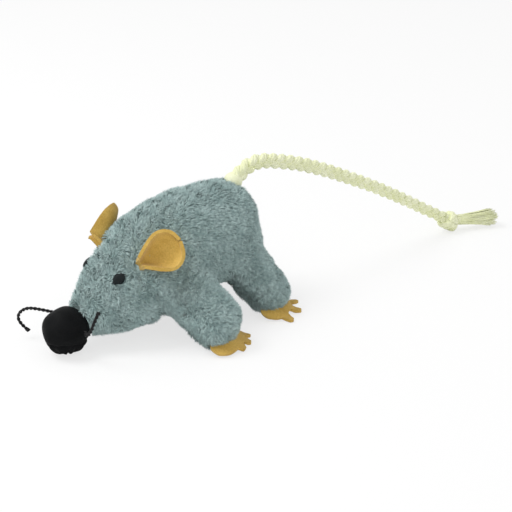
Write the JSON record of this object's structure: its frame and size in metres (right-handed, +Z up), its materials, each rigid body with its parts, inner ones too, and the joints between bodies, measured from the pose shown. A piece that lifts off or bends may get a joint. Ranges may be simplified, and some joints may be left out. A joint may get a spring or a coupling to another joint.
{
  "type": "stuffed plush mouse toy",
  "caption": "Soft stuffed mouse standing on short splayed legs, nose to the floor, with felt ears and paws, a round black nose and a long braided tail with a knot and tuft.",
  "frame": {"origin": "on the floor, under the middle of the animal's box without its tail", "axes": "+Z up, -Y the way the mouse faces, +X its left side"},
  "size_m": [0.12, 0.2951, 0.0741],
  "materials": {
    "plush": "short pile plush",
    "stuffing": "polyester fibre filling",
    "felt": "pressed felt",
    "nose_cloth": "smooth woven cloth",
    "eye_thread": "satin stitched thread",
    "tail_cotton": "soft braided cotton",
    "whisker_cord": "twisted waxed cord"
  },
  "bodies": {
    "torso": {"belly_panel": "plush", "body_side_left": "plush", "body_side_right": "plush", "body_stuffing": "stuffing", "face_side_left": "plush", "face_side_right": "plush", "head_stuffing": "stuffing", "eye_left": "eye_thread", "eye_right": "eye_thread", "nose_cover": "nose_cloth", "nose_stuffing": "stuffing"},
    "front_leg_left": {"front_leg_left_cover": "plush", "front_leg_left_stuffing": "stuffing"},
    "front_paw_left": {"front_paw_left": "felt"},
    "hind_leg_left": {"hind_leg_left_cover": "plush", "hind_leg_left_stuffing": "stuffing"},
    "hind_paw_left": {"hind_paw_left": "felt"},
    "ear_left": {"ear_left": "felt"},
    "whisker_left": {"whisker_left": "whisker_cord"},
    "front_leg_right": {"front_leg_right_cover": "plush", "front_leg_right_stuffing": "stuffing"},
    "front_paw_right": {"front_paw_right": "felt"},
    "hind_leg_right": {"hind_leg_right_cover": "plush", "hind_leg_right_stuffing": "stuffing"},
    "hind_paw_right": {"hind_paw_right": "felt"},
    "ear_right": {"ear_right": "felt"},
    "whisker_right": {"whisker_right": "whisker_cord"},
    "tail_base": {"tail_anchor": "tail_cotton"},
    "tail": {"tail_braid": "tail_cotton", "tail_knot": "tail_cotton", "tail_tuft": "tail_cotton"}
  },
  "joints": [
    {"name": "front_hip_left", "type": "hinge", "parent": "torso", "child": "front_leg_left", "pos_m": [0.018, 0.00348, 0.028], "axis": [1, 0, 0], "range_deg": [-12, 12], "stiffness_Nm_per_rad": 0.15},
    {"name": "front_paw_bend_left", "type": "hinge", "parent": "front_leg_left", "child": "front_paw_left", "pos_m": [0.05019, 0.00912, 0.0026], "axis": [0.1392, -0.9903, 0], "range_deg": [0, 35], "stiffness_Nm_per_rad": 0.002},
    {"name": "hind_hip_left", "type": "hinge", "parent": "torso", "child": "hind_leg_left", "pos_m": [0.016, 0.04148, 0.03], "axis": [1, 0, 0], "range_deg": [-12, 12], "stiffness_Nm_per_rad": 0.15},
    {"name": "hind_paw_bend_left", "type": "hinge", "parent": "hind_leg_left", "child": "hind_paw_left", "pos_m": [0.03575, 0.05399, 0.0026], "axis": [0.2756, -0.9613, 0], "range_deg": [0, 35], "stiffness_Nm_per_rad": 0.002},
    {"name": "ear_fold_left", "type": "hinge", "parent": "torso", "child": "ear_left", "pos_m": [0.0204, -0.02012, 0.0462], "axis": [0.6359, 0.1178, -0.7627], "range_deg": [-3, 25], "stiffness_Nm_per_rad": 0.002},
    {"name": "whisker_bend_left", "type": "hinge", "parent": "torso", "child": "whisker_left", "pos_m": [0.013, -0.05002, 0.0152], "axis": [0, 0, 1], "range_deg": [-40, 0], "stiffness_Nm_per_rad": 0.0005},
    {"name": "front_hip_right", "type": "hinge", "parent": "torso", "child": "front_leg_right", "pos_m": [-0.018, 0.00348, 0.028], "axis": [1, 0, 0], "range_deg": [-12, 12], "stiffness_Nm_per_rad": 0.15},
    {"name": "front_paw_bend_right", "type": "hinge", "parent": "front_leg_right", "child": "front_paw_right", "pos_m": [-0.05019, 0.00912, 0.0026], "axis": [0.1392, 0.9903, 0], "range_deg": [0, 35], "stiffness_Nm_per_rad": 0.002},
    {"name": "hind_hip_right", "type": "hinge", "parent": "torso", "child": "hind_leg_right", "pos_m": [-0.016, 0.04148, 0.03], "axis": [1, 0, 0], "range_deg": [-12, 12], "stiffness_Nm_per_rad": 0.15},
    {"name": "hind_paw_bend_right", "type": "hinge", "parent": "hind_leg_right", "child": "hind_paw_right", "pos_m": [-0.03575, 0.05399, 0.0026], "axis": [0.2756, 0.9613, 0], "range_deg": [0, 35], "stiffness_Nm_per_rad": 0.002},
    {"name": "ear_fold_right", "type": "hinge", "parent": "torso", "child": "ear_right", "pos_m": [-0.0204, -0.02012, 0.0462], "axis": [0.6359, -0.1178, 0.7627], "range_deg": [-3, 25], "stiffness_Nm_per_rad": 0.002},
    {"name": "whisker_bend_right", "type": "hinge", "parent": "torso", "child": "whisker_right", "pos_m": [-0.0134, -0.05102, 0.016], "axis": [0, 0, 1], "range_deg": [-10, 30], "stiffness_Nm_per_rad": 0.0005},
    {"name": "tail_swing", "type": "hinge", "parent": "torso", "child": "tail_base", "pos_m": [0, 0.05148, 0.0632], "axis": [0, 0, 1], "range_deg": [-30, 30]},
    {"name": "tail_lift", "type": "hinge", "parent": "tail_base", "child": "tail", "pos_m": [0, 0.05148, 0.0632], "axis": [1, 0, 0], "range_deg": [0, 45]}
  ]
}
